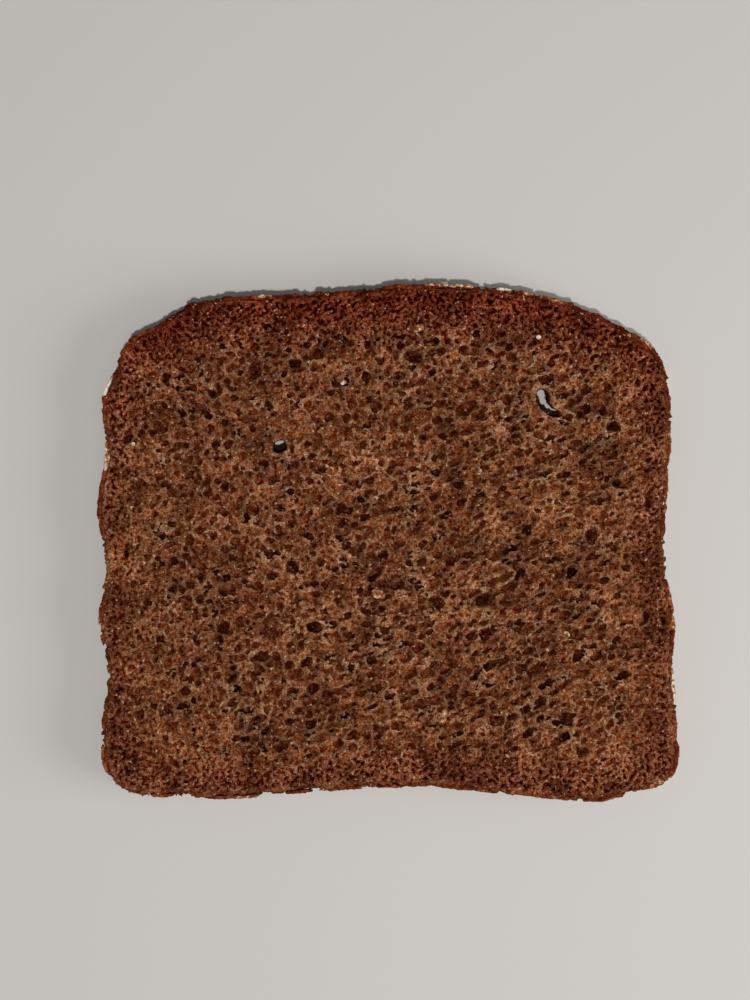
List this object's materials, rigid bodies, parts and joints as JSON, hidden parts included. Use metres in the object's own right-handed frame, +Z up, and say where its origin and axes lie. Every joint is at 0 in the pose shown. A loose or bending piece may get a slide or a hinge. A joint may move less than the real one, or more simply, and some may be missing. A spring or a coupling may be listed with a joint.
{
  "type": "whole grain bread slice",
  "caption": "Slice of dark whole grain tin bread, lying flat: an open porous crumb with air holes and rolled oats pressed into its thin crust.",
  "frame": {"origin": "middle of the slice's footprint, on the table", "axes": "+X across the slice, +Y towards the loaf's domed top, +Z up through the thickness"},
  "size_m": [0.1106, 0.0982, 0.011],
  "materials": {
    "crumb": "matt, porous dark brown crumb",
    "crust": "matt red-brown baked crust",
    "oat_flake": "matt toasted oat flake, cream to brown"
  },
  "bodies": {
    "root": {"bread_slice": "crumb"}
  },
  "joints": []
}
